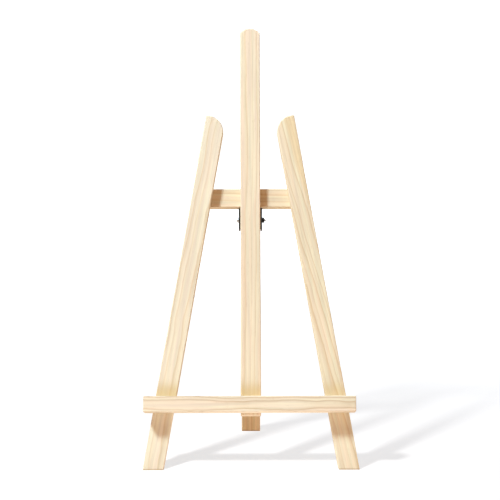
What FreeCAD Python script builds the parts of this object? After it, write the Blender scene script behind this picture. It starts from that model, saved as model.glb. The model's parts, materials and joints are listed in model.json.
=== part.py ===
import FreeCAD, Part
import os

import Sketcher

# A tabletop display easel of pine lath. Two side legs, a taller centre mast, a crossbar behind them
# and a ledge in front of them make a frame that leans back. A rear leg turns on a screw through a
# U-bracket on the mast's back, and the bevel at its top meets the bracket's web when it is open.
#
# World: +X to the right seen from the front, +Y to the back, +Z up. The floor is Z = 0, and the
# origin is on it, below the middle of the easel's bounding box.
# Leaning plane, in which the frame's pieces are drawn: x as above, `along` up the plane from the
# floor, and `depth` behind the front faces of the legs and the mast.

DIMENSIONS = (
    # name, millimetres or degrees, meaning
    ("lean", 16.8, "angle of the frame's plane back from vertical"),
    ("splay", 9.65, "angle of a side leg from the mast, within the frame's plane"),
    ("rear_slope", 18.75, "angle of the open rear leg from vertical"),
    ("lath_w", 24, "width of the lath"),
    ("lath_t", 12, "thickness of the lath"),
    ("edge", 1.2, "radius of the eased edges"),
    ("foot_x", 114.4, "side leg's centre line to the middle, at the floor"),
    ("leg_length", 433, "side leg's length on its centre line"),
    ("leg_round", 20, "rounding of a side leg's inner top corner"),
    ("mast_low", 63, "mast's lower end, along the plane"),
    ("mast_high", 540, "mast's top, along the plane"),
    ("mast_round", 15, "radius of the mast's rounded top"),
    ("bar_low", 316, "crossbar's lower edge, along the plane"),
    ("bar_w", 23, "width of the crossbar"),
    ("bar_length", 134, "length of the crossbar"),
    ("ledge_low", 66, "ledge's underside, along the plane"),
    ("ledge_w", 18.5, "height of the ledge's front"),
    ("ledge_depth", 20, "how far the ledge stands out"),
    ("ledge_length", 247.5, "length of the ledge"),
    ("ledge_shift", -1.5, "ledge's middle from the middle of the easel"),
    ("pivot_along", 301.8, "rear leg's pivot, along the plane"),
    ("leg_head", 10, "rear leg's top above its pivot"),
    ("leg_gap", 1, "gap between the bracket's web and the folded rear leg"),
    ("stop_gap", 0.05, "gap left between the open leg's bevel and the web"),
    ("stop_round", 3, "rounding where the bevel meets the rear leg's front"),
    ("bracket_w", 26, "width of the bracket's steel strip"),
    ("bracket_t", 1.8, "thickness of the strip"),
    ("bracket_bend", 0.5, "inside radius of the strip's bends"),
    ("bracket_side", 0.4, "gap between the rear leg and each cheek"),
    ("cheek", 18, "how far the cheeks stand back from the mast"),
    ("cheek_round", 8, "rounding of the cheeks' rear corners"),
    ("pivot_d", 3, "diameter of the pivot screw"),
    ("pivot_bore", 3.15, "bore for the pivot screw"),
    ("pivot_head", 5.8, "diameter of the pivot screw's pan head"),
    ("pivot_head_high", 2.3, "height of the pan head"),
    ("pivot_rim", 0.8, "height of the pan head's rim"),
    ("pivot_end", 2, "end of the pivot screw past the nut"),
    ("pivot_lead", 0.5, "chamfer at the pivot screw's end"),
    ("nut_flats", 5.5, "nut across its flats"),
    ("nut_high", 2.6, "height of the nut"),
    ("nut_bore", 3.1, "bore of the nut"),
    ("nut_face", 5.2, "diameter of the nut's flat end faces"),
    ("nut_slope", 30, "angle of the nut's corner chamfers from its end faces"),
    ("large_head", 7, "wood screw's head"),
    ("large_shank", 3.5, "wood screw's shank"),
    ("large_core", 2.4, "wood screw's core"),
    ("large_bar", 20, "length of a crossbar screw"),
    ("large_ledge", 25, "length of a ledge screw"),
    ("small_head", 5.4, "bracket screw's head"),
    ("small_shank", 3, "bracket screw's shank"),
    ("small_core", 2, "bracket screw's core"),
    ("small_length", 10, "length of a bracket screw"),
    ("head_rim", 0.15, "straight rim of a countersunk head"),
    ("head_sink", 0.1, "how far a countersunk head sits below the surface"),
    ("screw_room", 0.2, "how much wider a screw hole is than its screw"),
    ("screw_tip", 4, "length of a wood screw's point"),
    ("pilot_spare", 1, "pilot hole beyond the screw's point"),
    ("bar_pair_x", 4.5, "crossbar screw to the joint's middle, across"),
    ("bar_pair_z", 5.5, "crossbar screw to the joint's middle, along"),
    ("bar_joint_x", 56, "middle of the crossbar's joint with a side leg"),
    ("bracket_pair", 8, "bracket screw to the pivot, along"),
    ("trim", 12, "spare length that is cut away at the feet"),
)

# Where derived values are used more than once, their expressions have names.
PIVOT_DEPTH = "(dims.lath_t * 1.5 + dims.bracket_t + dims.leg_gap)"
PIVOT_HEIGHT = f"(dims.pivot_along * cos(dims.lean) - {PIVOT_DEPTH} * sin(dims.lean))"
PIVOT_BACK = f"(dims.pivot_along * sin(dims.lean) + {PIVOT_DEPTH} * cos(dims.lean))"
FOOTPRINT = (
    f"({PIVOT_BACK} + {PIVOT_HEIGHT} * tan(dims.rear_slope)"
    " + dims.lath_t / 2 / cos(dims.rear_slope))"
)
OPENING = "(dims.lean + dims.rear_slope)"
CHEEK_INSIDE = "(dims.lath_w / 2 + dims.bracket_side)"
CHEEK_OUTSIDE = f"({CHEEK_INSIDE} + dims.bracket_t)"
BAR_MIDDLE = "(dims.bar_low + dims.bar_w / 2)"
LEDGE_MIDDLE = "(dims.ledge_low + dims.ledge_w / 2)"
LEDGE_JOINT_X = f"(dims.foot_x - {LEDGE_MIDDLE} * tan(dims.splay))"

SIDES = {"left": -1, "right": 1}

doc = FreeCAD.newDocument("display_easel")
dims = doc.addObject("Spreadsheet::Sheet", "dims")
for row, (name, size, meaning) in enumerate(DIMENSIONS, start=1):
    dims.set(f"A{row}", meaning)
    dims.set(f"B{row}", str(size))
    dims.setAlias(f"B{row}", name)
doc.recompute()


def value(expression):
    """The number that an expression on the sheet's dimensions gives."""
    return FreeCAD.Units.Quantity(dims.evalExpression(str(expression))).Value


def place(body, x="0", along="0", depth="0", axis=(-1, 0, 0), angle="dims.lean"):
    """Put a body's origin at a point of the leaning plane, turned about an axis of the world."""
    body.Placement = FreeCAD.Placement(
        FreeCAD.Vector(), FreeCAD.Rotation(FreeCAD.Vector(*axis), value(angle))
    )
    back = f"({along}) * sin(dims.lean) + ({depth}) * cos(dims.lean) - {FOOTPRINT} / 2"
    body.setExpression("Placement.Base.x", x)
    body.setExpression("Placement.Base.y", back)
    body.setExpression("Placement.Base.z", f"({along}) * cos(dims.lean) - ({depth}) * sin(dims.lean)")
    body.setExpression("Placement.Rotation.Angle", angle)


def new_body(label, **placing):
    body = doc.addObject("PartDesign::Body", label)
    body.Label = label
    place(body, **placing)
    return body


def sketch_on(body, plane, name, offset="0"):
    """A sketch on one of the body's origin planes, moved along that plane's normal."""
    sketch = body.newObject("Sketcher::SketchObject", name)
    support = next(item for item in body.Origin.OriginFeatures if item.Role == plane)
    sketch.AttachmentSupport = [(support, "")]
    sketch.MapMode = "FlatFace"
    sketch.setExpression("AttachmentOffset.Base.z", offset)
    return sketch


def constrain(sketch, kind, references, expression):
    """A dimension of a sketch that follows an expression."""
    index = sketch.addConstraint(Sketcher.Constraint(kind, *references, value(expression)))
    sketch.setExpression(f"Constraints[{index}]", expression)


def fix_point(sketch, geometry, end, x, z):
    """Hold a point of the sketch at distances from the sketch's origin."""
    constrain(sketch, "DistanceX", (-1, 1, geometry, end), x)
    constrain(sketch, "DistanceY", (-1, 1, geometry, end), z)


def outline(sketch, corners, arcs=None):
    """A closed loop through corners given as pairs of expressions.

    arcs maps a corner's number to (centre x, centre y, radius) of the arc from it to the next one.
    """
    arcs = arcs or {}
    points = [FreeCAD.Vector(value(x), value(y), 0) for x, y in corners]
    starts, ends = [], []
    for number, start in enumerate(points):
        finish = points[(number + 1) % len(points)]
        if number in arcs:
            centre = FreeCAD.Vector(value(arcs[number][0]), value(arcs[number][1]), 0)
            radius = value(arcs[number][2])
            bulge = (start + finish) * 0.5 - centre
            middle = centre + bulge * (radius / bulge.Length)
            geometry = sketch.addGeometry(Part.Arc(start, middle, finish))
        else:
            geometry = sketch.addGeometry(Part.LineSegment(start, finish))
        forward = sketch.getPoint(geometry, 1).distanceToPoint(start) < 1e-6
        starts.append((geometry, 1 if forward else 2))
        ends.append((geometry, 2 if forward else 1))
    for number, (x, y) in enumerate(corners):
        sketch.addConstraint(Sketcher.Constraint("Coincident", *ends[number - 1], *starts[number]))
        fix_point(sketch, *starts[number], x, y)
    for number, (_, _, radius) in arcs.items():
        constrain(sketch, "Radius", (starts[number][0],), radius)


def rectangle(sketch, half_width, low, high):
    outline(
        sketch,
        [(f"-{half_width}", low), (half_width, low), (half_width, high), (f"-{half_width}", high)],
    )


def circle(sketch, x, y, diameter):
    ring = Part.Circle(FreeCAD.Vector(value(x), value(y), 0), FreeCAD.Vector(0, 0, 1), value(diameter) / 2)
    geometry = sketch.addGeometry(ring)
    fix_point(sketch, geometry, 3, x, y)
    constrain(sketch, "Diameter", (geometry,), diameter)


def pad(body, sketch, length, reverse=False, both_ways=False):
    feature = body.newObject("PartDesign::Pad", "Pad")
    feature.Profile = sketch
    feature.setExpression("Length", length)
    feature.Reversed = reverse
    feature.SideType = "Symmetric" if both_ways else "One side"
    doc.recompute()
    return feature


def checked_cut(body, feature, before):
    """A cut that removes nothing points the wrong way, so the volume is compared."""
    doc.recompute()
    if not feature.Shape.Volume < before - 1e-6:
        raise RuntimeError(f"{body.Label}: {feature.Name} cuts nothing")
    return feature


def pocket_through(body, sketch):
    before = body.Tip.Shape.Volume
    feature = body.newObject("PartDesign::Pocket", "Pocket")
    feature.Profile = sketch
    feature.Type = "ThroughAll"
    feature.SideType = "Symmetric"
    return checked_cut(body, feature, before)


def round_edges(body, chosen, radius="dims.edge"):
    """Round the edges of the body's last feature that `chosen` accepts."""
    base = body.Tip
    names = [f"Edge{number}" for number, edge in enumerate(base.Shape.Edges, start=1) if chosen(edge)]
    feature = body.newObject("PartDesign::Fillet", "Rounded")
    feature.Base = (base, names)
    feature.setExpression("Radius", radius)
    doc.recompute()
    return feature


def every_edge(edge):
    return True


def screw_holes(body, spots, kind, surface, depth=None):
    """Holes for screws driven forward from the plane at `surface` behind the body's origin.

    With a depth they are pilot holes of the screw's core, with a mouth as wide as its shank. Else
    they go right through, and their countersinks take the screws' heads.
    """
    before = body.Tip.Shape.Volume
    sketch = sketch_on(body, "XZ_Plane", "HoleCentres", f"-({surface})")
    if depth:
        width, mouth = f"dims.{kind}_core", f"dims.{kind}_shank"
    else:
        width, mouth = f"dims.{kind}_shank", f"dims.{kind}_head + 2 * (dims.head_sink + dims.head_rim)"
    for x, z in spots:
        circle(sketch, x, z, f"{width} + dims.screw_room")
    doc.recompute()
    hole = body.newObject("PartDesign::Hole", "ScrewHoles")
    hole.Profile = sketch
    hole.Reversed = True
    hole.DrillPoint = "Flat"
    hole.setExpression("Diameter", f"{width} + dims.screw_room")
    if depth:
        hole.setExpression("Depth", depth)
    else:
        hole.DepthType = "ThroughAll"
    hole.HoleCutType = "Countersink"
    hole.HoleCutCustomValues = True
    hole.HoleCutCountersinkAngle = 90
    hole.setExpression("HoleCutDiameter", f"{mouth} + dims.screw_room")
    return checked_cut(body, hole, before)


def revolve(body, corners, arcs=None):
    """A solid of revolution about the body's Y axis, from corners given as (radius, y)."""
    sketch = sketch_on(body, "XY_Plane", "HalfSection")
    outline(sketch, corners, arcs)
    feature = body.newObject("PartDesign::Revolution", "Turned")
    feature.Profile = sketch
    feature.ReferenceAxis = (sketch, ["V_Axis"])
    feature.Angle = 360
    doc.recompute()
    return feature


def cross_recess(body, head, top):
    """A cross-shaped driver recess in the end face at `top` on the body's Y axis."""
    before = body.Tip.Shape.Volume
    arm, half = f"({head} * 0.29)", f"({head} * 0.075)"
    signs = ((1, 1), (-1, 1), (-1, -1), (1, -1))
    corners = []
    for number, (sx, sz) in enumerate(signs):
        side = (f"{sx} * {arm}", f"{sz} * {half}")
        inner = (f"{sx} * {half}", f"{sz} * {half}")
        tip = (f"{sx} * {half}", f"{sz} * {arm}")
        corners += [side, inner, tip] if number % 2 == 0 else [tip, inner, side]
    sketch = sketch_on(body, "XZ_Plane", "Recess", f"-({top})")
    outline(sketch, corners)
    feature = body.newObject("PartDesign::Pocket", "DriverRecess")
    feature.Profile = sketch
    feature.Reversed = True
    feature.setExpression("Length", f"{head} * 0.22")
    return checked_cut(body, feature, before)


def wood_screw(label, x, along, depth, kind, length, grip):
    """A countersunk screw, its head at `depth` and its point forward; `grip` is its plain shank."""
    body = new_body(label, x=x, along=along, depth=f"{depth} - dims.head_sink")
    head, shank, core = (f"dims.{kind}_{part} / 2" for part in ("head", "shank", "core"))
    cone = f"-dims.head_rim - ({head} - {shank})"
    corners = [
        ("0", "0"),
        (head, "0"),
        (head, "-dims.head_rim"),
        (shank, cone),
        (shank, f"-({grip})"),
        (core, f"-({grip}) - ({shank} - {core})"),
        (core, f"-({length} - dims.screw_tip)"),
        ("0", f"-({length})"),
    ]
    revolve(body, corners)
    cross_recess(body, f"dims.{kind}_head", "0")
    return body


def crossbar_spots(middle):
    """The two screws of a crossbar joint, set diagonally, as offsets in x and along the plane."""
    return {
        "upper": (f"({middle}) - dims.bar_pair_x", "dims.bar_pair_z"),
        "lower": (f"({middle}) + dims.bar_pair_x", "-dims.bar_pair_z"),
    }


CROSSBAR_JOINTS = {"left": "-dims.bar_joint_x", "centre": "0", "right": "dims.bar_joint_x"}
LEDGE_JOINTS = {"left": f"-{LEDGE_JOINT_X}", "centre": "0", "right": LEDGE_JOINT_X}
BAR_PILOT = "dims.large_bar - dims.lath_t + dims.pilot_spare"
LEDGE_PILOT = "dims.large_ledge - dims.lath_t + dims.pilot_spare"
BRACKET_PILOT = "dims.small_length - dims.bracket_t + dims.pilot_spare"


def frame_screw_holes(body, joint):
    """What the mast and both legs share: pilot holes for the crossbar, a hole for the ledge."""
    spots = [(x, f"{BAR_MIDDLE} + {z}") for x, z in crossbar_spots(CROSSBAR_JOINTS[joint]).values()]
    screw_holes(body, spots, "large", "dims.lath_t", BAR_PILOT)
    screw_holes(body, [(LEDGE_JOINTS[joint], LEDGE_MIDDLE)], "large", "dims.lath_t")


def make_mast():
    body = new_body("centre_mast")
    shoulder = "dims.mast_high - dims.mast_round + sqrt(dims.mast_round^2 - (dims.lath_w / 2)^2)"
    half = "dims.lath_w / 2"
    sketch = sketch_on(body, "XZ_Plane", "FrontView")
    outline(
        sketch,
        [(f"-{half}", "dims.mast_low"), (half, "dims.mast_low"), (half, shoulder), (f"-{half}", shoulder)],
        {2: ("0", "dims.mast_high - dims.mast_round", "dims.mast_round")},
    )
    pad(body, sketch, "dims.lath_t", reverse=True)
    round_edges(body, every_edge)
    frame_screw_holes(body, "centre")
    bracket_spots = [("0", f"dims.pivot_along + {sign} * dims.bracket_pair") for sign in (1, -1)]
    screw_holes(body, bracket_spots, "small", "dims.lath_t", BRACKET_PILOT)
    return body


def make_side_leg(side):
    """A side leg: `out` counts from its centre line away from the mast, `up` from the floor."""
    sign = SIDES[side]
    body = new_body(f"{side}_leg")

    def spot(out, up):
        x = f"{sign} * (dims.foot_x + ({out}) * cos(dims.splay) - ({up}) * sin(dims.splay))"
        return x, f"({out}) * sin(dims.splay) + ({up}) * cos(dims.splay)"

    half = "dims.lath_w / 2"
    round_out = f"dims.leg_round - {half}"
    round_up = "dims.leg_length - dims.leg_round"
    corners = [
        spot(half, "-dims.trim"),
        spot(half, "dims.leg_length"),
        spot(round_out, "dims.leg_length"),
        spot(f"-{half}", round_up),
        spot(f"-{half}", "-dims.trim"),
    ]
    sketch = sketch_on(body, "XZ_Plane", "FrontView")
    outline(sketch, corners, {2: (*spot(round_out, round_up), "dims.leg_round")})
    pad(body, sketch, "dims.lath_t", reverse=True)
    below_floor = sketch_on(body, "YZ_Plane", "BelowFloor")
    back = "dims.lath_t + dims.trim"
    outline(
        below_floor,
        [
            ("-dims.trim", "-dims.trim * tan(dims.lean)"),
            ("-dims.trim", "-2 * dims.trim"),
            (back, "-2 * dims.trim"),
            (back, f"({back}) * tan(dims.lean)"),
        ],
    )
    pocket_through(body, below_floor)
    foot_top = value("dims.trim")
    round_edges(body, lambda edge: edge.CenterOfMass.z > foot_top)
    frame_screw_holes(body, side)
    return body


def make_crossbar():
    body = new_body("crossbar", along="dims.bar_low", depth="dims.lath_t")
    sketch = sketch_on(body, "XZ_Plane", "FrontView")
    rectangle(sketch, "dims.bar_length / 2", "0", "dims.bar_w")
    pad(body, sketch, "dims.lath_t", reverse=True)
    round_edges(body, every_edge)
    spots = []
    for middle in CROSSBAR_JOINTS.values():
        spots += [(x, f"dims.bar_w / 2 + {z}") for x, z in crossbar_spots(middle).values()]
    screw_holes(body, spots, "large", "dims.lath_t")
    return body


def make_ledge():
    body = new_body("ledge", x="dims.ledge_shift", along="dims.ledge_low")
    sketch = sketch_on(body, "XZ_Plane", "FrontView")
    rectangle(sketch, "dims.ledge_length / 2", "0", "dims.ledge_w")
    pad(body, sketch, "dims.ledge_depth")
    round_edges(body, every_edge)
    spots = [(f"{x} - dims.ledge_shift", "dims.ledge_w / 2") for x in LEDGE_JOINTS.values()]
    screw_holes(body, spots, "large", "0", LEDGE_PILOT)
    return body


def make_rear_leg():
    """The rear leg, drawn from the side about its pivot: y to its back face, z up its length."""
    body = new_body(
        "rear_leg", along="dims.pivot_along", depth=PIVOT_DEPTH, axis=(1, 0, 0), angle="dims.rear_slope"
    )
    half = "dims.lath_t / 2"
    slope = "dims.rear_slope"
    to_web = f"({half} + dims.leg_gap - dims.stop_gap)"
    bevel_top = f"(dims.leg_head * sin({OPENING}) - {to_web}) / cos({OPENING})"
    bevel_low = f"({to_web} - {half} * cos({OPENING})) / sin({OPENING})"
    corners = [
        (f"-{half}", f"-({PIVOT_HEIGHT} - {half} * sin({slope})) / cos({slope})"),
        (half, f"-({PIVOT_HEIGHT} + {half} * sin({slope})) / cos({slope})"),
        (half, "dims.leg_head"),
        (bevel_top, "dims.leg_head"),
        (f"-{half}", bevel_low),
    ]
    sketch = sketch_on(body, "YZ_Plane", "SideView")
    outline(sketch, corners)
    pad(body, sketch, "dims.lath_w", both_ways=True)
    bevel_corner = FreeCAD.Vector(0, -value(half), value(bevel_low))
    round_edges(body, lambda edge: (edge.CenterOfMass - bevel_corner).Length < 1e-3, "dims.stop_round")
    foot_top = value("dims.trim") - value(PIVOT_HEIGHT)
    round_edges(body, lambda edge: edge.CenterOfMass.z > foot_top)
    bore = sketch_on(body, "YZ_Plane", "PivotBore")
    circle(bore, "0", "0", "dims.pivot_bore")
    pocket_through(body, bore)
    return body


def make_bracket():
    """The U-bracket, drawn from above: y back from the mast, z up the plane from its lower edge."""
    body = new_body("hinge_bracket", along="dims.pivot_along - dims.bracket_w / 2", depth="dims.lath_t")
    outer_bend = "(dims.bracket_bend + dims.bracket_t)"
    inner_bend = "dims.bracket_bend"
    web_out, web_in = f"({CHEEK_OUTSIDE} - {outer_bend})", f"({CHEEK_INSIDE} - {inner_bend})"
    corners = [
        (f"-{CHEEK_OUTSIDE}", "dims.cheek"),
        (f"-{CHEEK_OUTSIDE}", outer_bend),
        (f"-{web_out}", "0"),
        (web_out, "0"),
        (CHEEK_OUTSIDE, outer_bend),
        (CHEEK_OUTSIDE, "dims.cheek"),
        (CHEEK_INSIDE, "dims.cheek"),
        (CHEEK_INSIDE, outer_bend),
        (web_in, "dims.bracket_t"),
        (f"-{web_in}", "dims.bracket_t"),
        (f"-{CHEEK_INSIDE}", outer_bend),
        (f"-{CHEEK_INSIDE}", "dims.cheek"),
    ]
    arcs = {
        1: (f"-{web_out}", outer_bend, outer_bend),
        3: (web_out, outer_bend, outer_bend),
        7: (web_in, outer_bend, inner_bend),
        9: (f"-{web_in}", outer_bend, inner_bend),
    }
    sketch = sketch_on(body, "XY_Plane", "BentStrip")
    outline(sketch, corners, arcs)
    pad(body, sketch, "dims.bracket_w")
    rear_edge = value("dims.cheek")
    thickness = value("dims.bracket_t")
    round_edges(
        body,
        lambda edge: edge.CenterOfMass.y > rear_edge - 1e-3 and abs(edge.Length - thickness) < 1e-3,
        "dims.cheek_round",
    )
    bore = sketch_on(body, "YZ_Plane", "PivotBore")
    circle(bore, f"{PIVOT_DEPTH} - dims.lath_t", "dims.bracket_w / 2", "dims.pivot_bore")
    pocket_through(body, bore)
    spots = [("0", f"dims.bracket_w / 2 + {sign} * dims.bracket_pair") for sign in (1, -1)]
    screw_holes(body, spots, "small", "dims.bracket_t")
    return body


def on_pivot(label):
    """A body whose Y axis is the pivot's, pointing left from the middle of the easel."""
    return new_body(label, along="dims.pivot_along", depth=PIVOT_DEPTH, axis=(0, 0, 1), angle="90")


def make_pivot_screw():
    body = on_pivot("pivot_screw")
    head, shank = "dims.pivot_head / 2", "dims.pivot_d / 2"
    rise = "(dims.pivot_head_high - dims.pivot_rim)"
    dome = f"((({head})^2 + {rise}^2) / (2 * {rise}))"
    top = f"{CHEEK_OUTSIDE} + dims.pivot_head_high"
    end = f"-({CHEEK_OUTSIDE} + dims.nut_high + dims.pivot_end)"
    corners = [
        ("0", top),
        ("0", end),
        (f"{shank} - dims.pivot_lead", end),
        (shank, f"{end} + dims.pivot_lead"),
        (shank, CHEEK_OUTSIDE),
        (head, CHEEK_OUTSIDE),
        (head, f"{CHEEK_OUTSIDE} + dims.pivot_rim"),
    ]
    revolve(body, corners, {6: ("0", f"{top} - {dome}", dome)})
    cross_recess(body, "dims.pivot_head", top)
    return body


def make_pivot_nut():
    body = on_pivot("pivot_nut")
    flat, corner = "dims.nut_flats / 2", "(dims.nut_flats / sqrt(3))"
    corners = [
        (corner, "0"),
        (f"{corner} / 2", flat),
        (f"-{corner} / 2", flat),
        (f"-{corner}", "0"),
        (f"-{corner} / 2", f"-{flat}"),
        (f"{corner} / 2", f"-{flat}"),
    ]
    sketch = sketch_on(body, "XZ_Plane", "Hexagon", CHEEK_OUTSIDE)
    outline(sketch, corners)
    circle(sketch, "0", "0", "dims.nut_bore")
    pad(body, sketch, "dims.nut_high")
    near, far = CHEEK_OUTSIDE, f"({CHEEK_OUTSIDE} + dims.nut_high)"
    drop = f"({corner} - dims.nut_face / 2) * tan(dims.nut_slope)"
    before = body.Tip.Shape.Volume
    chamfers = sketch_on(body, "XY_Plane", "CornerChamfers")
    for end, sign in ((near, 1), (far, -1)):
        outline(
            chamfers,
            [
                ("dims.nut_face / 2", f"-{end}"),
                (f"{corner} * 2 - dims.nut_face / 2", f"-{end}"),
                (f"{corner} * 2 - dims.nut_face / 2", f"-({end} + {sign} * 2 * {drop})"),
            ],
        )
    groove = body.newObject("PartDesign::Groove", "Chamfered")
    groove.Profile = chamfers
    groove.ReferenceAxis = (chamfers, ["V_Axis"])
    groove.Angle = 360
    checked_cut(body, groove, before)
    return body


def make_bracket_screws():
    web = "dims.lath_t + dims.bracket_t"
    for name, sign in (("upper", 1), ("lower", -1)):
        along = f"dims.pivot_along + {sign} * dims.bracket_pair"
        grip = "dims.bracket_t - dims.head_sink"
        yield wood_screw(f"bracket_screw_{name}", "0", along, web, "small", "dims.small_length", grip)


def make_crossbar_screws():
    for joint, middle in CROSSBAR_JOINTS.items():
        for name, (x, z) in crossbar_spots(middle).items():
            label = f"crossbar_screw_{joint}_{name}"
            along = f"{BAR_MIDDLE} + {z}"
            yield wood_screw(label, x, along, "2 * dims.lath_t", "large", "dims.large_bar", "dims.lath_t / 2")


def make_ledge_screws():
    for joint, x in LEDGE_JOINTS.items():
        label = f"ledge_screw_{joint}"
        yield wood_screw(label, x, LEDGE_MIDDLE, "dims.lath_t", "large", "dims.large_ledge", "dims.lath_t / 2")


pieces = [
    make_mast(),
    make_side_leg("left"),
    make_side_leg("right"),
    make_crossbar(),
    make_ledge(),
    make_rear_leg(),
    make_bracket(),
    make_pivot_screw(),
    make_pivot_nut(),
    *make_bracket_screws(),
    *make_crossbar_screws(),
    *make_ledge_screws(),
]
doc.recompute()

for item in doc.Objects:
    if {"Invalid", "Error"} & set(item.State):
        raise RuntimeError(f"{item.Label} failed: {item.State}")
for piece in pieces:
    shape = piece.Shape
    if shape.isNull() or not shape.isValid() or len(shape.Solids) != 1:
        raise RuntimeError(f"{piece.Label} isn't one valid solid")

os.makedirs("parts", exist_ok=True)
for piece in pieces:
    piece.Shape.exportStep(f"parts/{piece.Label}.step")

whole = Part.makeCompound([piece.Shape for piece in pieces])
box = whole.BoundBox
print(f"{len(pieces)} pieces, {box.XLength:.2f} x {box.YLength:.2f} x {box.ZLength:.2f} mm")
print(f"lowest {box.ZMin:.3f}, middle {box.Center.x:.3f}, {box.Center.y:.3f}")
print(f"pivot at y {value(f'{PIVOT_BACK} - {FOOTPRINT} / 2'):.4f}, z {value(PIVOT_HEIGHT):.4f}")
print(f"rear leg opens by {value(OPENING):.2f} degrees")
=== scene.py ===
"""Plate display stand: a pine tabletop easel with a folding rear leg, on a white studio floor."""

import json
import math

import bmesh
import bpy
from mathutils import Matrix, Vector

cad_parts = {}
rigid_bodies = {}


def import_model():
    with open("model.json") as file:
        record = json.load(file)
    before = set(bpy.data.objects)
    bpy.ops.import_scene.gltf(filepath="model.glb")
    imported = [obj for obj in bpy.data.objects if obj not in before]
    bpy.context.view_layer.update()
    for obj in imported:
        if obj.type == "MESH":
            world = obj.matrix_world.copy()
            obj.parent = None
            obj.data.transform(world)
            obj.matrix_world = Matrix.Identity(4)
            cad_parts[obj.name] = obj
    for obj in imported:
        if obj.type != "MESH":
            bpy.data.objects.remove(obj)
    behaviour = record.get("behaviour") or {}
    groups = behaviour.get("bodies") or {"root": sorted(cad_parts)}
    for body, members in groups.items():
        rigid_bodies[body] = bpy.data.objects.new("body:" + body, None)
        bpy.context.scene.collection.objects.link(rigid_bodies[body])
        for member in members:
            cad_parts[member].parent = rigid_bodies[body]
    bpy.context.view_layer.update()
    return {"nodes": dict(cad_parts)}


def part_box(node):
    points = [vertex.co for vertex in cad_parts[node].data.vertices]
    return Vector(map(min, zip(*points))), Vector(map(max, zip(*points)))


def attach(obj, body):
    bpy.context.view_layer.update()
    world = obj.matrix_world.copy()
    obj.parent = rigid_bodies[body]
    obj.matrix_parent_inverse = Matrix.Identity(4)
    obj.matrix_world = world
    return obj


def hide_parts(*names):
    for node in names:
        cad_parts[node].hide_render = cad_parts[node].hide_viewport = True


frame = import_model()

MM = 0.001
LEAN = math.radians(16.8)
SPLAY = math.radians(9.65)
REAR_SLOPE = math.radians(18.75)

RIGHT = Vector((1, 0, 0))
UP = Vector((0, 0, 1))
RISE = Vector((0, math.sin(LEAN), math.cos(LEAN)))
OUT = Vector((0, -math.cos(LEAN), math.sin(LEAN)))
REAR_RISE = Vector((0, -math.sin(REAR_SLOPE), math.cos(REAR_SLOPE)))
REAR_OUT = Vector((0, -math.cos(REAR_SLOPE), -math.sin(REAR_SLOPE)))
LEFT_RISE = RISE * math.cos(SPLAY) + RIGHT * math.sin(SPLAY)
RIGHT_RISE = RISE * math.cos(SPLAY) - RIGHT * math.sin(SPLAY)


# ---------------------------------------------------------------- places read from the CAD nodes


def local_frame(node, along, out):
    """The frame of a straight part: its axes as a rotation, its centre and its half sizes."""
    across = out.cross(along)
    axes = (along, across, out)
    points = [vertex.co for vertex in frame["nodes"][node].data.vertices]
    spans = []
    for axis in axes:
        reach = [point.dot(axis) for point in points]
        spans.append((min(reach), max(reach)))
    centre = sum((axis * (low + high) / 2 for axis, (low, high) in zip(axes, spans)), Vector())
    turn = Matrix(axes).transposed()
    return turn, centre, [(high - low) / 2 for low, high in spans]


LEDGE_TOP = max(vertex.co.dot(RISE) for vertex in frame["nodes"]["ledge"].data.vertices)


# ---------------------------------------------------------------- shader writing


class Shader:
    """Writes one material. Each method adds a node and returns the output it is used for."""

    def __init__(self, name):
        self.material = bpy.data.materials.new(name)
        self.material.use_nodes = True
        self.tree = self.material.node_tree
        self.surface = self.tree.nodes["Principled BSDF"]

    def add(self, kind, inputs, output=0, **settings):
        node = self.tree.nodes.new("ShaderNode" + kind)
        for key, value in settings.items():
            setattr(node, key, value)
        for key, value in inputs.items():
            self.feed(node.inputs[key], value)
        return node.outputs[output]

    def feed(self, socket, value):
        if isinstance(value, bpy.types.NodeSocket):
            self.tree.links.new(value, socket)
        else:
            socket.default_value = value

    def finish(self, **inputs):
        for key, value in inputs.items():
            self.feed(self.surface.inputs[key.replace("_", " ")], value)
        return self.material

    def math(self, operation, *values):
        return self.add("Math", dict(enumerate(values)), operation=operation)

    def vector(self, operation, first, second):
        return self.add("VectorMath", {0: first, 1: second}, operation=operation)

    def measure(self, operation, *vectors):
        return self.add("VectorMath", dict(enumerate(vectors)), output="Value", operation=operation)

    def split(self, vector):
        node = self.tree.nodes.new("ShaderNodeSeparateXYZ")
        self.feed(node.inputs[0], vector)
        return node.outputs

    def join(self, *values):
        return self.add("CombineXYZ", dict(enumerate(values)))

    def noise(self, vector, scale, detail=2.0, rough=0.5, output="Fac"):
        inputs = {"Vector": vector, "Scale": scale, "Detail": detail, "Roughness": rough}
        return self.add("TexNoise", inputs, output=output)

    def spread(self, value, low, high, to_low=0.0, to_high=1.0):
        inputs = {0: value, 1: low, 2: high, 3: to_low, 4: to_high}
        return self.add("MapRange", inputs, interpolation_type="SMOOTHSTEP")

    def ramp(self, value, stops):
        node = self.tree.nodes.new("ShaderNodeValToRGB")
        self.feed(node.inputs[0], value)
        elements = node.color_ramp.elements
        while len(elements) < len(stops):
            elements.new(0.5)
        for element, (place, level) in zip(elements, stops):
            element.position = place
            element.color = (level, level, level, 1)
        return node.outputs[0]

    def blend(self, share, first, second):
        node = self.tree.nodes.new("ShaderNodeMix")
        node.data_type = "RGBA"
        for place, value in ((0, share), (6, first), (7, second)):
            self.feed(node.inputs[place], value)
        return node.outputs[2]

    def bump(self, height, strength, distance):
        inputs = {"Height": height, "Strength": strength, "Distance": distance}
        return self.add("Bump", inputs)


def colour(red, green, blue):
    return (red, green, blue, 1.0)


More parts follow.
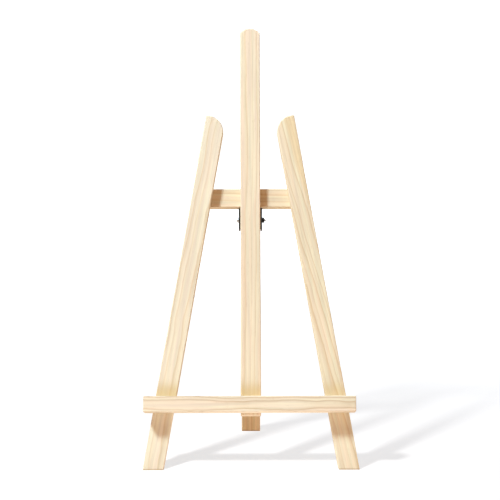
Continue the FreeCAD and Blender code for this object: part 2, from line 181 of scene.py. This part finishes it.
# noise cells per metre along, across and through a lath, for each kind of grain
FIBRE = (22.0, 900.0, 900.0)
STREAK = (9.0, 260.0, 260.0)
CANAL = (110.0, 2100.0, 2100.0)
CLOUD = (8.0, 190.0, 190.0)
WANDER = 16.0
CLOUD_SHIFT = 1.7

RING_UNEVEN = 2.2
BAND_PROFILE = [(0.0, 0.25), (0.08, 0.0), (0.5, 0.06), (0.8, 0.42), (0.93, 1.0), (1.0, 0.25)]
HEART_EDGE = 2.5 * MM
CANAL_DEPTH = 0.3

# painted shade around the ledge's top: its tint, and the distances from the ledge's top where it is full
# and where it has faded out
LEDGE_SHADE_TINT = (0.70, 0.49, 0.19)
LEDGE_SHADE_FULL = 5 * MM
LEDGE_SHADE_END = 23 * MM

END_GRAIN = 0.32
RIM_INNER = 1.6 * MM
RIM_OUTER = 0.3 * MM
# painted contact shade at the bottoms of the feet: full up to the lower height, gone at the upper
CONTACT_SHADE_LOW = 0.3 * MM
CONTACT_SHADE_HIGH = 2.2 * MM
WOOD_RELIEF = 0.12 * MM


def drawn_out(wood, local, rate, seed, detail, rough, output="Fac"):
    """Noise that is stretched along the lath."""
    place = wood.vector("ADD", wood.vector("MULTIPLY", local, rate), seed)
    return wood.noise(place, 1.0, detail, rough, output)


def grain_drift(wood, local, seed, look):
    """How far the grain wanders from straight, across and through the lath."""
    slow = drawn_out(wood, local, (look["wave"], WANDER, WANDER), seed, 3.0, 0.5, "Color")
    centred = wood.vector("SUBTRACT", slow, (0.5, 0.5, 0.5))
    return wood.vector("MULTIPLY", centred, (0.0, look["drift"], look["drift"]))


def growth_bands(wood, local, drift, seed, look):
    """Growth rings of uneven width, pale early wood and a darker late band."""
    slope = wood.join(0.0, wood.math("MULTIPLY", wood.split(local)[0], look["run"]), 0.0)
    flat = wood.vector("MULTIPLY", local, (0.0, 1.0, 1.0))
    flat = wood.vector("ADD", wood.vector("ADD", flat, drift), slope)
    spoke = wood.vector("SUBTRACT", flat, (0.0, *look["pith"]))
    phase = wood.math("DIVIDE", wood.measure("LENGTH", spoke), look["ring"])
    uneven = wood.noise(wood.join(phase, seed.x, seed.y), 0.55, 1.0)
    phase = wood.math("ADD", phase, wood.math("MULTIPLY", uneven, RING_UNEVEN))
    band = wood.ramp(wood.math("FRACT", phase), BAND_PROFILE)
    lot = wood.add("TexWhiteNoise", {"W": wood.math("FLOOR", phase)}, noise_dimensions="1D")
    return wood.math("MULTIPLY", band, wood.spread(lot, 0.0, 1.0, 0.35, 1.0))


def painted_ledge_shade(wood, place, body, look):
    """Painted shade and bounced light: the wood is darker and yellower around the height of the ledge's
    top, where the ledge blocks light from the floor and reflects warm light back.
    """
    rise = wood.measure("DOT_PRODUCT", place, RISE)
    apart = wood.math("ABSOLUTE", wood.math("SUBTRACT", rise, LEDGE_TOP))
    # painted shade: full close to the ledge's top height, fading out further away
    ledge_shade = wood.spread(apart, LEDGE_SHADE_FULL, LEDGE_SHADE_END, look["ledge_shade"], 0.0)
    return wood.blend(ledge_shade, body, colour(*LEDGE_SHADE_TINT))


def edge_wear(wood, local, half, streak):
    """The share of wear on the eased edges: near a corner, and patchy along it."""
    rims = []
    for axis in (1, 2):
        away = wood.math("ABSOLUTE", wood.split(local)[axis])
        rims.append(wood.spread(away, half[axis] - RIM_INNER, half[axis] - RIM_OUTER))
    rim = wood.math("MULTIPLY", *rims)
    return wood.math("MULTIPLY", rim, wood.spread(streak, 0.3, 0.7, 0.1, 0.5))


def pine(node, along, out, look):
    """Solid pine cut from a log: rings around a pith in or beside the lath, fibres and canals along it."""
    turn, centre, half = local_frame(node, along, out)
    wood = Shader("pine_" + node)
    place = wood.add("TexCoord", {}, output="Object")
    local = wood.add(
        "Mapping",
        {"Vector": place, "Location": centre, "Rotation": turn.to_euler()},
        vector_type="TEXTURE",
    )
    seed = Vector(look["seed"])

    drift = grain_drift(wood, local, seed, look)
    band = growth_bands(wood, local, drift, seed, look)
    fibre = drawn_out(wood, local, FIBRE, seed, 3.0, 0.6)
    streak = drawn_out(wood, local, STREAK, seed, 2.0, 0.5)
    canal = wood.spread(drawn_out(wood, local, CANAL, seed, 1.0, 0.4), 0.69, 0.77)
    tone = wood.spread(drawn_out(wood, local, CLOUD, seed * CLOUD_SHIFT, 2.0, 0.5), 0.35, 0.65)
    heart_side, heart_at = look["heart"]
    heart = wood.measure("DOT_PRODUCT", wood.vector("ADD", local, drift), heart_side)
    heart = wood.spread(heart, heart_at - HEART_EDGE, heart_at + HEART_EDGE)

    body = wood.blend(tone, colour(*look["early"]), colour(*look["blush"]))
    body = wood.blend(heart, body, colour(*look["core"]))
    body = wood.blend(wood.math("MULTIPLY", band, look["depth"]), body, colour(*look["late"]))
    lift = wood.math("ADD", wood.spread(fibre, 0.2, 0.8, -0.05, 0.05), 1.0)
    lift = wood.math("ADD", lift, wood.spread(streak, 0.25, 0.75, -0.07, 0.07))
    body = wood.add("VectorMath", {0: body, "Scale": lift}, operation="SCALE")
    body = wood.blend(wood.math("MULTIPLY", canal, CANAL_DEPTH), body, colour(*look["resin"]))
    # painted shade and warm bounced light around the ledge's top
    body = painted_ledge_shade(wood, place, body, look)

    # end grain is darker, the bottoms of the feet get painted contact shade where they stand on the floor,
    # and the eased edges are paler
    end = wood.measure("DOT_PRODUCT", wood.add("TexCoord", {}, output="Normal"), along)
    end = wood.spread(wood.math("ABSOLUTE", end), 0.55, 0.95)
    body = wood.blend(wood.math("MULTIPLY", end, END_GRAIN), body, colour(*look["late"]))
    # painted contact shade: darker towards the bottoms of the feet, where they meet the floor
    painted_contact_shade = wood.spread(wood.split(place)[2], CONTACT_SHADE_LOW, CONTACT_SHADE_HIGH, 0.6, 0.0)
    body = wood.blend(painted_contact_shade, body, colour(*look["resin"]))
    body = wood.blend(edge_wear(wood, local, half, streak), body, colour(*look["edge"]))

    gloss = wood.spread(fibre, 0.2, 0.8, 0.5, 0.66)
    gloss = wood.math("ADD", gloss, wood.math("MULTIPLY", band, -0.07))
    relief = wood.math("ADD", wood.math("MULTIPLY", fibre, 0.55), wood.math("MULTIPLY", band, 0.6))
    relief = wood.math("SUBTRACT", relief, wood.math("MULTIPLY", canal, 0.5))
    return wood.finish(
        Base_Color=body,
        Roughness=gloss,
        Normal=wood.bump(relief, 0.45, WOOD_RELIEF),
        Specular_IOR_Level=0.35,
    )


METAL_RELIEF = 0.02 * MM
SPECKS_PER_METRE = 2600.0
PATCH_FINER = 2.3
PATCH_FADE = 0.14


def metal(name, look):
    """Plated or blackened steel: brushed, mottled, with brighter worn spots."""
    steel = Shader(name)
    place = steel.add("TexCoord", {}, output="Object")
    cloud = steel.noise(place, look["cloud"], 4.0, 0.6)
    brushed = steel.vector("MULTIPLY", place, look["brush"])
    line = steel.noise(brushed, 1.0, 3.0, 0.6)
    speck = steel.spread(steel.noise(place, SPECKS_PER_METRE, 2.0, 0.6), 0.6, 0.75)
    spots = steel.noise(place, look["cloud"] * PATCH_FINER, 3.0, 0.7)
    patch = steel.spread(spots, look["worn"], look["worn"] + PATCH_FADE)
    tone = steel.blend(steel.spread(cloud, 0.3, 0.7), colour(*look["dark"]), colour(*look["light"]))
    tone = steel.blend(steel.math("MULTIPLY", patch, look["wear"]), tone, colour(*look["bare"]))
    rough = steel.spread(line, 0.25, 0.75, *look["rough"])
    rough = steel.math("ADD", rough, steel.math("MULTIPLY", speck, 0.08))
    relief = steel.math("ADD", steel.math("MULTIPLY", line, 0.6), steel.math("MULTIPLY", speck, 0.3))
    return steel.finish(
        Base_Color=tone,
        Metallic=look["metallic"],
        Roughness=rough,
        Normal=steel.bump(relief, 0.3, METAL_RELIEF),
    )


# ---------------------------------------------------------------- the wood

PALE = {
    "ledge_shade": 0.0,
    "wave": 5.0,
    "early": (0.82, 0.71, 0.51),
    "blush": (0.83, 0.665, 0.495),
    "core": (0.76, 0.60, 0.385),
    "late": (0.66, 0.46, 0.235),
    "resin": (0.42, 0.24, 0.10),
    "edge": (0.83, 0.71, 0.52),
}
WARM = {
    "ledge_shade": 0.0,
    "wave": 5.0,
    "early": (0.80, 0.65, 0.42),
    "blush": (0.80, 0.61, 0.41),
    "core": (0.77, 0.56, 0.32),
    "late": (0.62, 0.38, 0.155),
    "resin": (0.36, 0.19, 0.08),
    "edge": (0.82, 0.68, 0.47),
}
NO_HEART = ((0.0, 0.0, 0.0), 1.0)

# pith: where the log's centre lies, across and out of the lath's front, from its middle
# ring: the mean width of a growth ring; run: how far the grain slopes across, per metre of lath
# heart: the direction towards the heartwood, and how far along it that starts
# each lath also sets how strongly the painted shade around the ledge's top tints it
LATHS = {
    "centre_mast": (RISE, OUT, dict(
        PALE, seed=(3.1, 7.7, 1.9), pith=(0.034, -0.040), ring=4.2 * MM,
        drift=0.007, wave=8.0, run=0.006, depth=0.55, ledge_shade=0.6, heart=NO_HEART)),
    "left_leg": (LEFT_RISE, OUT, dict(
        PALE, seed=(12.4, 2.2, 5.3), pith=(-0.030, -0.045), ring=4.4 * MM,
        drift=0.009, wave=10.0, run=0.02, depth=0.6, ledge_shade=0.6, heart=NO_HEART,
        early=(0.82, 0.73, 0.54), blush=(0.82, 0.69, 0.525))),
    "right_leg": (RIGHT_RISE, OUT, dict(
        PALE, seed=(8.8, 4.1, 9.6), pith=(0.040, -0.030), ring=3.6 * MM,
        drift=0.007, wave=10.0, run=-0.109, depth=0.8, ledge_shade=0.4, heart=((0.109, -1.0, 0.0), 0.0215),
        early=(0.82, 0.73, 0.52), blush=(0.82, 0.68, 0.49), core=(0.79, 0.63, 0.39))),
    "crossbar": (RIGHT, OUT, dict(
        WARM, seed=(1.2, 9.9, 4.4), pith=(0.030, -0.035), ring=3.2 * MM,
        drift=0.006, run=0.02, depth=0.5, heart=NO_HEART,
        early=(0.80, 0.68, 0.47), blush=(0.80, 0.645, 0.46))),
    "ledge": (RIGHT, OUT, dict(
        PALE, seed=(16.6, 2.9, 5.1), pith=(-0.0015, -0.004), ring=2.2 * MM,
        drift=0.0045, wave=13.0, run=0.0, depth=1.0, heart=NO_HEART,
        early=(0.82, 0.73, 0.54), blush=(0.83, 0.685, 0.515), late=(0.53, 0.34, 0.155))),
    "rear_leg": (REAR_RISE, REAR_OUT, dict(
        WARM, seed=(5.5, 6.3, 2.7), pith=(-0.022, -0.040), ring=3.4 * MM,
        drift=0.007, run=0.01, depth=0.7, heart=NO_HEART)),
}

for name, (along, out, look) in LATHS.items():
    lath = frame["nodes"][name]
    lath.data.materials.clear()
    lath.data.materials.append(pine(name, along, out, look))


# ---------------------------------------------------------------- the metal

BRONZE_BLACK = metal("blackened_steel", {
    "dark": (0.018, 0.015, 0.012), "light": (0.045, 0.036, 0.027), "bare": (0.16, 0.13, 0.10),
    "cloud": 220.0, "brush": (300.0, 5200.0, 900.0), "worn": 0.58, "wear": 0.5,
    "rough": (0.38, 0.56), "metallic": 0.85})
BLACK_OXIDE = metal("black_oxide_steel", {
    "dark": (0.010, 0.010, 0.011), "light": (0.028, 0.028, 0.030), "bare": (0.14, 0.14, 0.14),
    "cloud": 420.0, "brush": (1500.0, 2600.0, 2600.0), "worn": 0.6, "wear": 0.4,
    "rough": (0.34, 0.5), "metallic": 0.8})
BRIGHT_ZINC = metal("bright_zinc", {
    "dark": (0.50, 0.51, 0.51), "light": (0.68, 0.68, 0.66), "bare": (0.78, 0.77, 0.72),
    "cloud": 480.0, "brush": (1400.0, 3000.0, 3000.0), "worn": 0.5, "wear": 0.6,
    "rough": (0.24, 0.42), "metallic": 1.0})
YELLOW_ZINC = metal("yellow_zinc", {
    "dark": (0.56, 0.47, 0.30), "light": (0.74, 0.64, 0.42), "bare": (0.68, 0.65, 0.57),
    "cloud": 520.0, "brush": (2400.0, 1400.0, 2400.0), "worn": 0.52, "wear": 0.6,
    "rough": (0.26, 0.44), "metallic": 1.0})

bracket = frame["nodes"]["hinge_bracket"]
bracket.data.materials.clear()
bracket.data.materials.append(BRONZE_BLACK)

AROUND = 48
SMOOTH_UP_TO = math.radians(32)

# the cross recess, as shares of its head's diameter
CROSS_REACH = 0.29
CROSS_HALF_WIDTH = 0.075
CROSS_DEPTH = 0.22

ROWS_PER_TURN = 6
TOOTH_WIDTH = 0.62

# wood screws: the head's bevel and rim, the fillet under it, and the thread
HEAD_BEVEL = 0.12 * MM
HEAD_RIM = 0.3 * MM
NECK_DROP = 0.35 * MM
NECK_FILLET = 0.25 * MM
SMOOTH_SHARE = 0.3
PITCH_SHARE = 0.45
POINT_LENGTH = 2.2 * MM
WOOD_THREAD_FADE = 1.4 * MM

# the pivot screw: how its domed head is drawn, and its thread
PAN_PARTS = 14
PAN_STEPS = 6
PAN_RIM_SHARE = 0.35
PAN_FLAT_SHARE = 0.42
THREAD_FROM = 0.42
THREAD_CORE = 0.81
MACHINE_PITCH = 0.5 * MM

NUT_FACE_INSET = 0.15 * MM
NUT_BORE_BEVEL = 0.3 * MM
NUT_BORE_DROP = 0.35 * MM
NUT_CORNER_INSET = 0.1 * MM


def ring(radius, height):
    """One ring of points around the axis; radius may depend on the angle."""
    points = []
    for step in range(AROUND):
        angle = 2 * math.pi * step / AROUND
        reach = radius(angle) if callable(radius) else radius
        rise = height(angle) if callable(height) else height
        points.append(Vector((reach * math.cos(angle), reach * math.sin(angle), rise)))
    return points


def skin(name, rings, hollow=False):
    """A closed mesh over rings of points, from the first ring to the last."""
    mesh = bpy.data.meshes.new(name)
    shape = bmesh.new()
    rows = [[shape.verts.new(point) for point in row] for row in rings]
    pairs = list(zip(rows, rows[1:]))
    if hollow:
        pairs.append((rows[-1], rows[0]))
    for lower, upper in pairs:
        for step in range(AROUND):
            after = (step + 1) % AROUND
            shape.faces.new((lower[step], lower[after], upper[after], upper[step]))
    if not hollow:
        shape.faces.new(rows[0])
        shape.faces.new(rows[-1])
    bmesh.ops.recalc_face_normals(shape, faces=shape.faces)
    shape.to_mesh(mesh)
    shape.free()
    return mesh


def driver_cross(reach, half_width, depth):
    """The cutter for a cross recess: a plus shape that narrows towards its floor."""
    mesh = bpy.data.meshes.new("driver_cross")
    shape = bmesh.new()
    rows = []
    for level, share in ((0.4 * depth, 1.12), (-0.45 * depth, 0.8), (-depth, 0.42)):
        outline = []
        for quarter in range(4):
            turn = Matrix.Rotation(quarter * math.pi / 2, 3, "Z")
            arm, half = reach * share, half_width * (0.55 + 0.45 * share)
            for corner in ((arm, -half), (arm, half), (half, half)):
                outline.append(turn @ Vector((corner[0], corner[1], level)))
        rows.append([shape.verts.new(point) for point in outline])
    for lower, upper in zip(rows, rows[1:]):
        for step in range(len(lower)):
            after = (step + 1) % len(lower)
            shape.faces.new((lower[step], lower[after], upper[after], upper[step]))
    shape.faces.new(rows[0])
    shape.faces.new(rows[-1])
    bmesh.ops.recalc_face_normals(shape, faces=shape.faces)
    shape.to_mesh(mesh)
    shape.free()
    return mesh


def recessed(name, mesh, head, top):
    """The mesh with a cross recess cut into the head whose top is at that height."""
    part = bpy.data.objects.new(name, mesh)
    cross = driver_cross(CROSS_REACH * head, CROSS_HALF_WIDTH * head, CROSS_DEPTH * head)
    cutter = bpy.data.objects.new("cutter", cross)
    cutter.location.z = top
    for piece in (part, cutter):
        bpy.context.scene.collection.objects.link(piece)
    cut = part.modifiers.new("recess", "BOOLEAN")
    cut.object = cutter
    cut.operation = "DIFFERENCE"
    bpy.context.view_layer.update()
    graph = bpy.context.evaluated_depsgraph_get()
    result = bpy.data.meshes.new_from_object(part.evaluated_get(graph))
    bpy.data.objects.remove(cutter)
    bpy.data.objects.remove(part)
    return result


def thread(start, end, core, crest, pitch, fade):
    """Rings of a helical thread from one height down to another, fading in and out over a length."""
    rings = []
    rows = max(2, round((start - end) / pitch * ROWS_PER_TURN))
    for row in range(rows + 1):
        level = start + (end - start) * row / rows
        grow = min(1.0, (start - level) / fade, (level - end) / fade)

        def reach(angle, level=level, grow=grow):
            turn = (level / pitch + angle / (2 * math.pi)) % 1.0
            tooth = max(0.0, 1.0 - abs(2 * turn - 1) / TOOTH_WIDTH)
            return core + (crest - core) * tooth * max(0.0, grow)

        rings.append(ring(reach, level))
    return rings


def wood_screw(name, head, shank, core, length):
    """A countersunk cross-recess wood screw, head up at z = 0 and its tip down."""
    outer, smooth = head / 2, shank / 2
    neck = -(outer - smooth + NECK_DROP)
    shoulder = neck - SMOOTH_SHARE * (length + neck)
    rings = [
        ring(0.3 * outer, 0.0),
        ring(outer - HEAD_BEVEL, 0.0),
        ring(outer - 0.03 * MM, -0.03 * MM),
        ring(outer, -HEAD_BEVEL),
        ring(outer, -HEAD_RIM),
        ring(smooth + NECK_FILLET, neck + 0.15 * MM),
        ring(smooth, neck - NECK_FILLET),
        ring(smooth, shoulder + 0.5 * MM),
    ]
    point = -length + POINT_LENGTH
    rings += thread(shoulder, point, core / 2, smooth, PITCH_SHARE * shank, WOOD_THREAD_FADE)
    rings += [ring(0.3 * core, -length + 0.9 * MM), ring(0.06 * core, -length + 0.05 * MM)]
    return recessed(name, skin(name, rings), head, 0.0)


def pan_screw(name, head, rise, shank, length):
    """A pan-head machine screw: head from z = 0 up, shank down to minus its length."""
    outer, smooth = head / 2, shank / 2
    rings = [ring(smooth - 0.35 * MM, -length), ring(smooth - 0.05 * MM, -length + 0.4 * MM)]
    start, end = -THREAD_FROM * length, -length + 0.45 * MM
    threads = thread(start, end, THREAD_CORE * smooth, smooth, MACHINE_PITCH, MACHINE_PITCH)
    rings += reversed(threads)
    rings += [ring(smooth, -0.4 * length), ring(smooth, -0.02 * MM), ring(outer - 0.15 * MM, 0.0)]
    rings += [ring(outer, 0.18 * MM), ring(outer, PAN_RIM_SHARE * rise)]
    for step in range(1, PAN_STEPS + 1):
        angle = step * math.pi / PAN_PARTS
        climb = math.sin(angle) / math.sin(PAN_STEPS * math.pi / PAN_PARTS)
        reach = outer * (PAN_FLAT_SHARE + (1 - PAN_FLAT_SHARE) * math.cos(angle))
        rings.append(ring(reach, rise * (PAN_RIM_SHARE + (1 - PAN_RIM_SHARE) * climb)))
    return recessed(name, skin(name, rings), head, rise)


def hex_nut(name, flats, height, bore):
    """A hexagon nut, chamfered on both faces, centred on z = 0; bore is the hole's radius."""
    apothem, half = flats / 2, height / 2

    def side(angle):
        return apothem / math.cos((angle + math.pi / 6) % (math.pi / 3) - math.pi / 6)

    def drop(angle):
        return half - (side(angle) - apothem + NUT_CORNER_INSET) * math.tan(math.pi / 6)

    face, mouth = apothem - NUT_FACE_INSET, bore + NUT_BORE_BEVEL
    rings = [
        ring(bore, -half + NUT_BORE_DROP),
        ring(mouth, -half),
        ring(face, -half),
        ring(side, lambda angle: -drop(angle)),
        ring(side, drop),
        ring(face, half),
        ring(mouth, half),
        ring(bore, half - NUT_BORE_DROP),
    ]
    return skin(name, rings, hollow=True)


def fit_piece(mesh, node, up, reach, material):
    """Puts a turned mesh in a CAD node's place: z along up, origin at that share of the node's half."""
    turn, centre, half = local_frame(node, up, UP if abs(up.x) > 0.5 else RIGHT)
    spot = centre + up * half[0] * reach
    piece = bpy.data.objects.new(node + "_piece", mesh)
    bpy.context.scene.collection.objects.link(piece)
    along, across, out = turn.col
    piece.matrix_world = Matrix.Translation(spot) @ Matrix((across, out, along)).transposed().to_4x4()
    mesh.shade_smooth()
    mesh.set_sharp_from_angle(angle=SMOOTH_UP_TO)
    mesh.materials.clear()
    mesh.materials.append(material)
    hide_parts(node)
    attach(piece, "a_frame")


CROSSBAR_SCREWS = [f"crossbar_screw_{side}_{level}"
                   for side in ("left", "centre", "right") for level in ("upper", "lower")]
LEDGE_SCREWS = [f"ledge_screw_{side}" for side in ("left", "centre", "right")]
BRACKET_SCREWS = ["bracket_screw_upper", "bracket_screw_lower"]

for names, head, shank, core, length in (
    (CROSSBAR_SCREWS, 7.0 * MM, 3.5 * MM, 2.4 * MM, 20 * MM),
    (LEDGE_SCREWS, 7.0 * MM, 3.5 * MM, 2.4 * MM, 25 * MM),
    (BRACKET_SCREWS, 5.4 * MM, 3.0 * MM, 2.1 * MM, 10 * MM),
):
    for name in names:
        screw_mesh = wood_screw(name, head, shank, core, length)
        fit_piece(screw_mesh, name, -OUT, 1.0, YELLOW_ZINC)

HEAD_RISE = 2.24 * MM
PIVOT_SHANK = 3 * MM
low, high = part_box("pivot_screw")
whole = high.x - low.x
pivot_mesh = pan_screw("pivot_screw", high.z - low.z, HEAD_RISE, PIVOT_SHANK, whole - HEAD_RISE)
fit_piece(pivot_mesh, "pivot_screw", -RIGHT, 1 - 2 * HEAD_RISE / whole, BRIGHT_ZINC)

NUT_BORE = 1.45 * MM
low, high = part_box("pivot_nut")
nut_mesh = hex_nut("pivot_nut", high.z - low.z, high.x - low.x, NUT_BORE)
fit_piece(nut_mesh, "pivot_nut", RIGHT, 0.0, BLACK_OXIDE)


# ---------------------------------------------------------------- floor, light and camera

FLOOR_RADIUS = 9.0
FLOOR_LIGHT = (-0.50, -0.60, 0.85)
FLOOR_MIDDLE = (0.0, 0.40, 0.0)
LIGHT_FADE = (0.8, 1.9)
ASIDE_FADE = (0.85, 1.3)
FLOOR_TINT = (0.40, 0.40, 0.40)
FLOOR_GLOW = (0.545, 0.60, 0.64)
BOUNCE_SPOT = (0.0, -0.32, 0.0)
BOUNCE_FADE = (0.05, 0.38)
BOUNCE_TINT = (0.50, 0.36, 0.24)
BOUNCE_GLOW = (1.04, 1.16, 1.36)
CARD_HEIGHT = -0.2 * MM

SKY_SEEN = ((1.0, 1.0, 1.0), 1.1)
SKY_MIRRORED = ((0.95, 0.97, 1.0), 0.3)
SKY_AMBIENT = ((1.0, 0.40, 0.07), 0.32)

ORIGIN = (0, 0, 0)
LOW_MIDDLE = (0, 0, 0.20)
MIDDLE = (0, 0, 0.25)

# for each light on the object: place, aim, size, power in watts and tint
OBJECT_LIGHTS = {
    "key_light": ((-1.20, -0.84, 2.45), MIDDLE, 0.46, 98, (0.75, 0.965, 1.115)),
    "low_light": ((-1.70, -1.30, 0.45), LOW_MIDDLE, 0.7, 4, (1.0, 0.82, 0.62)),
    "under_light": ((0, 0.35, -1.6), MIDDLE, 0.8, 5, (1.0, 0.96, 0.90)),
    "side_light": ((2.2, 0.25, 0.50), MIDDLE, 0.8, 15, (0.90, 0.98, 1.08)),
    "back_light": ((0.9, 1.7, 1.6), MIDDLE, 0.8, 42, (0.92, 1.0, 1.06)),
}


def studio_disc(name, height, material):
    """A large round sheet that is part of the studio and casts no shadow."""
    mesh = bpy.data.meshes.new(name)
    disc = bmesh.new()
    bmesh.ops.create_circle(disc, cap_ends=True, segments=96, radius=FLOOR_RADIUS)
    disc.to_mesh(mesh)
    disc.free()
    mesh.materials.append(material)
    sheet = bpy.data.objects.new(name, mesh)
    sheet.location.z = height
    bpy.context.scene.collection.objects.link(sheet)
    sheet.visible_shadow = False
    return sheet


def seen_floor():
    """The floor that the camera sees: white paper that glows more away from the object, with no horizon."""
    paper = Shader("studio_paper")
    place = paper.add("TexCoord", {}, output="Object")
    grainy = paper.noise(place, 900.0, 2.0)
    away = paper.spread(paper.measure("DISTANCE", place, FLOOR_LIGHT), *LIGHT_FADE, 1.0, 1.7)
    aside = paper.spread(paper.measure("DISTANCE", place, FLOOR_MIDDLE), *ASIDE_FADE, 0.0, 0.6)
    sheet = studio_disc("studio_floor", 0.0, paper.finish(
        Base_Color=colour(*FLOOR_TINT),
        Roughness=0.9,
        Specular_IOR_Level=0.0,
        Emission_Color=colour(*FLOOR_GLOW),
        Emission_Strength=paper.math("ADD", away, aside),
        Normal=paper.bump(grainy, 0.1, 0.05 * MM),
    ))
    sheet.visible_diffuse = False
    sheet.visible_glossy = False
    return sheet


def bounce_card():
    """The floor that sends light back: a card just under it, brightest in front of the object."""
    card = Shader("studio_card")
    place = card.add("TexCoord", {}, output="Object")
    spot = card.measure("DISTANCE", place, BOUNCE_SPOT)
    sheet = studio_disc("bounce_card", CARD_HEIGHT, card.finish(
        Base_Color=colour(*BOUNCE_TINT),
        Roughness=0.9,
        Specular_IOR_Level=0.0,
        Emission_Color=colour(*BOUNCE_GLOW),
        Emission_Strength=card.spread(spot, *BOUNCE_FADE, 1.0, 0.0),
    ))
    sheet.visible_camera = False


def studio_air():
    """The world: white to the camera, neutral in reflections, and warm and weak as light."""
    world = bpy.data.worlds.new("studio")
    bpy.context.scene.world = world
    world.use_nodes = True
    air = world.node_tree

    def background(node, tint, strength):
        node.inputs["Color"].default_value = colour(*tint)
        node.inputs["Strength"].default_value = strength
        return node

    behind = background(air.nodes["Background"], *SKY_AMBIENT)
    path = air.nodes.new("ShaderNodeLightPath")
    for ray, sky in (("Is Glossy Ray", SKY_MIRRORED), ("Is Camera Ray", SKY_SEEN)):
        ground = background(air.nodes.new("ShaderNodeBackground"), *sky)
        choice = air.nodes.new("ShaderNodeMixShader")
        air.links.new(path.outputs[ray], choice.inputs[0])
        air.links.new(behind.outputs[0], choice.inputs[1])
        air.links.new(ground.outputs[0], choice.inputs[2])
        behind = choice
    air.links.new(behind.outputs[0], air.nodes["World Output"].inputs["Surface"])


def softbox(name, place, aim, size, power, tint, onto):
    """A round soft light that lights only the pieces in one collection."""
    lamp = bpy.data.lights.new(name, "AREA")
    lamp.shape = "DISK"
    lamp.size = size
    lamp.energy = power
    lamp.color = tint
    holder = bpy.data.objects.new(name, lamp)
    holder.location = place
    holder.rotation_euler = (Vector(aim) - Vector(place)).to_track_quat("-Z", "Y").to_euler()
    bpy.context.scene.collection.objects.link(holder)
    holder.light_linking.receiver_collection = onto


floor = seen_floor()
bounce_card()
studio_air()

paper_only = bpy.data.collections.new("paper_only")
paper_only.objects.link(floor)
object_only = bpy.data.collections.new("object_only")
for piece in bpy.context.scene.objects:
    if piece.type == "MESH" and piece != floor:
        object_only.objects.link(piece)

softbox("floor_light", FLOOR_LIGHT, ORIGIN, 0.13, 13.0, (1.0, 1.0, 1.0), paper_only)
for name, settings in OBJECT_LIGHTS.items():
    softbox(name, *settings, object_only)

CAMERA_PLACE = Vector((-0.0006, -1.7016, 0.4207))
PITCH = math.radians(5.84)
ROLL = math.radians(0.16)
LENS = 100.9
SENSOR = 36
camera_data = bpy.data.cameras.new("camera")
camera_data.lens = LENS
camera_data.sensor_width = SENSOR
camera = bpy.data.objects.new("camera", camera_data)
camera.location = CAMERA_PLACE
aimed = Matrix.Rotation(math.pi / 2 - PITCH, 3, "X") @ Matrix.Rotation(-ROLL, 3, "Z")
camera.rotation_euler = aimed.to_euler()
bpy.context.scene.collection.objects.link(camera)
bpy.context.scene.camera = camera
bpy.context.scene.view_settings.view_transform = "Standard"
bpy.context.scene.view_settings.look = "None"
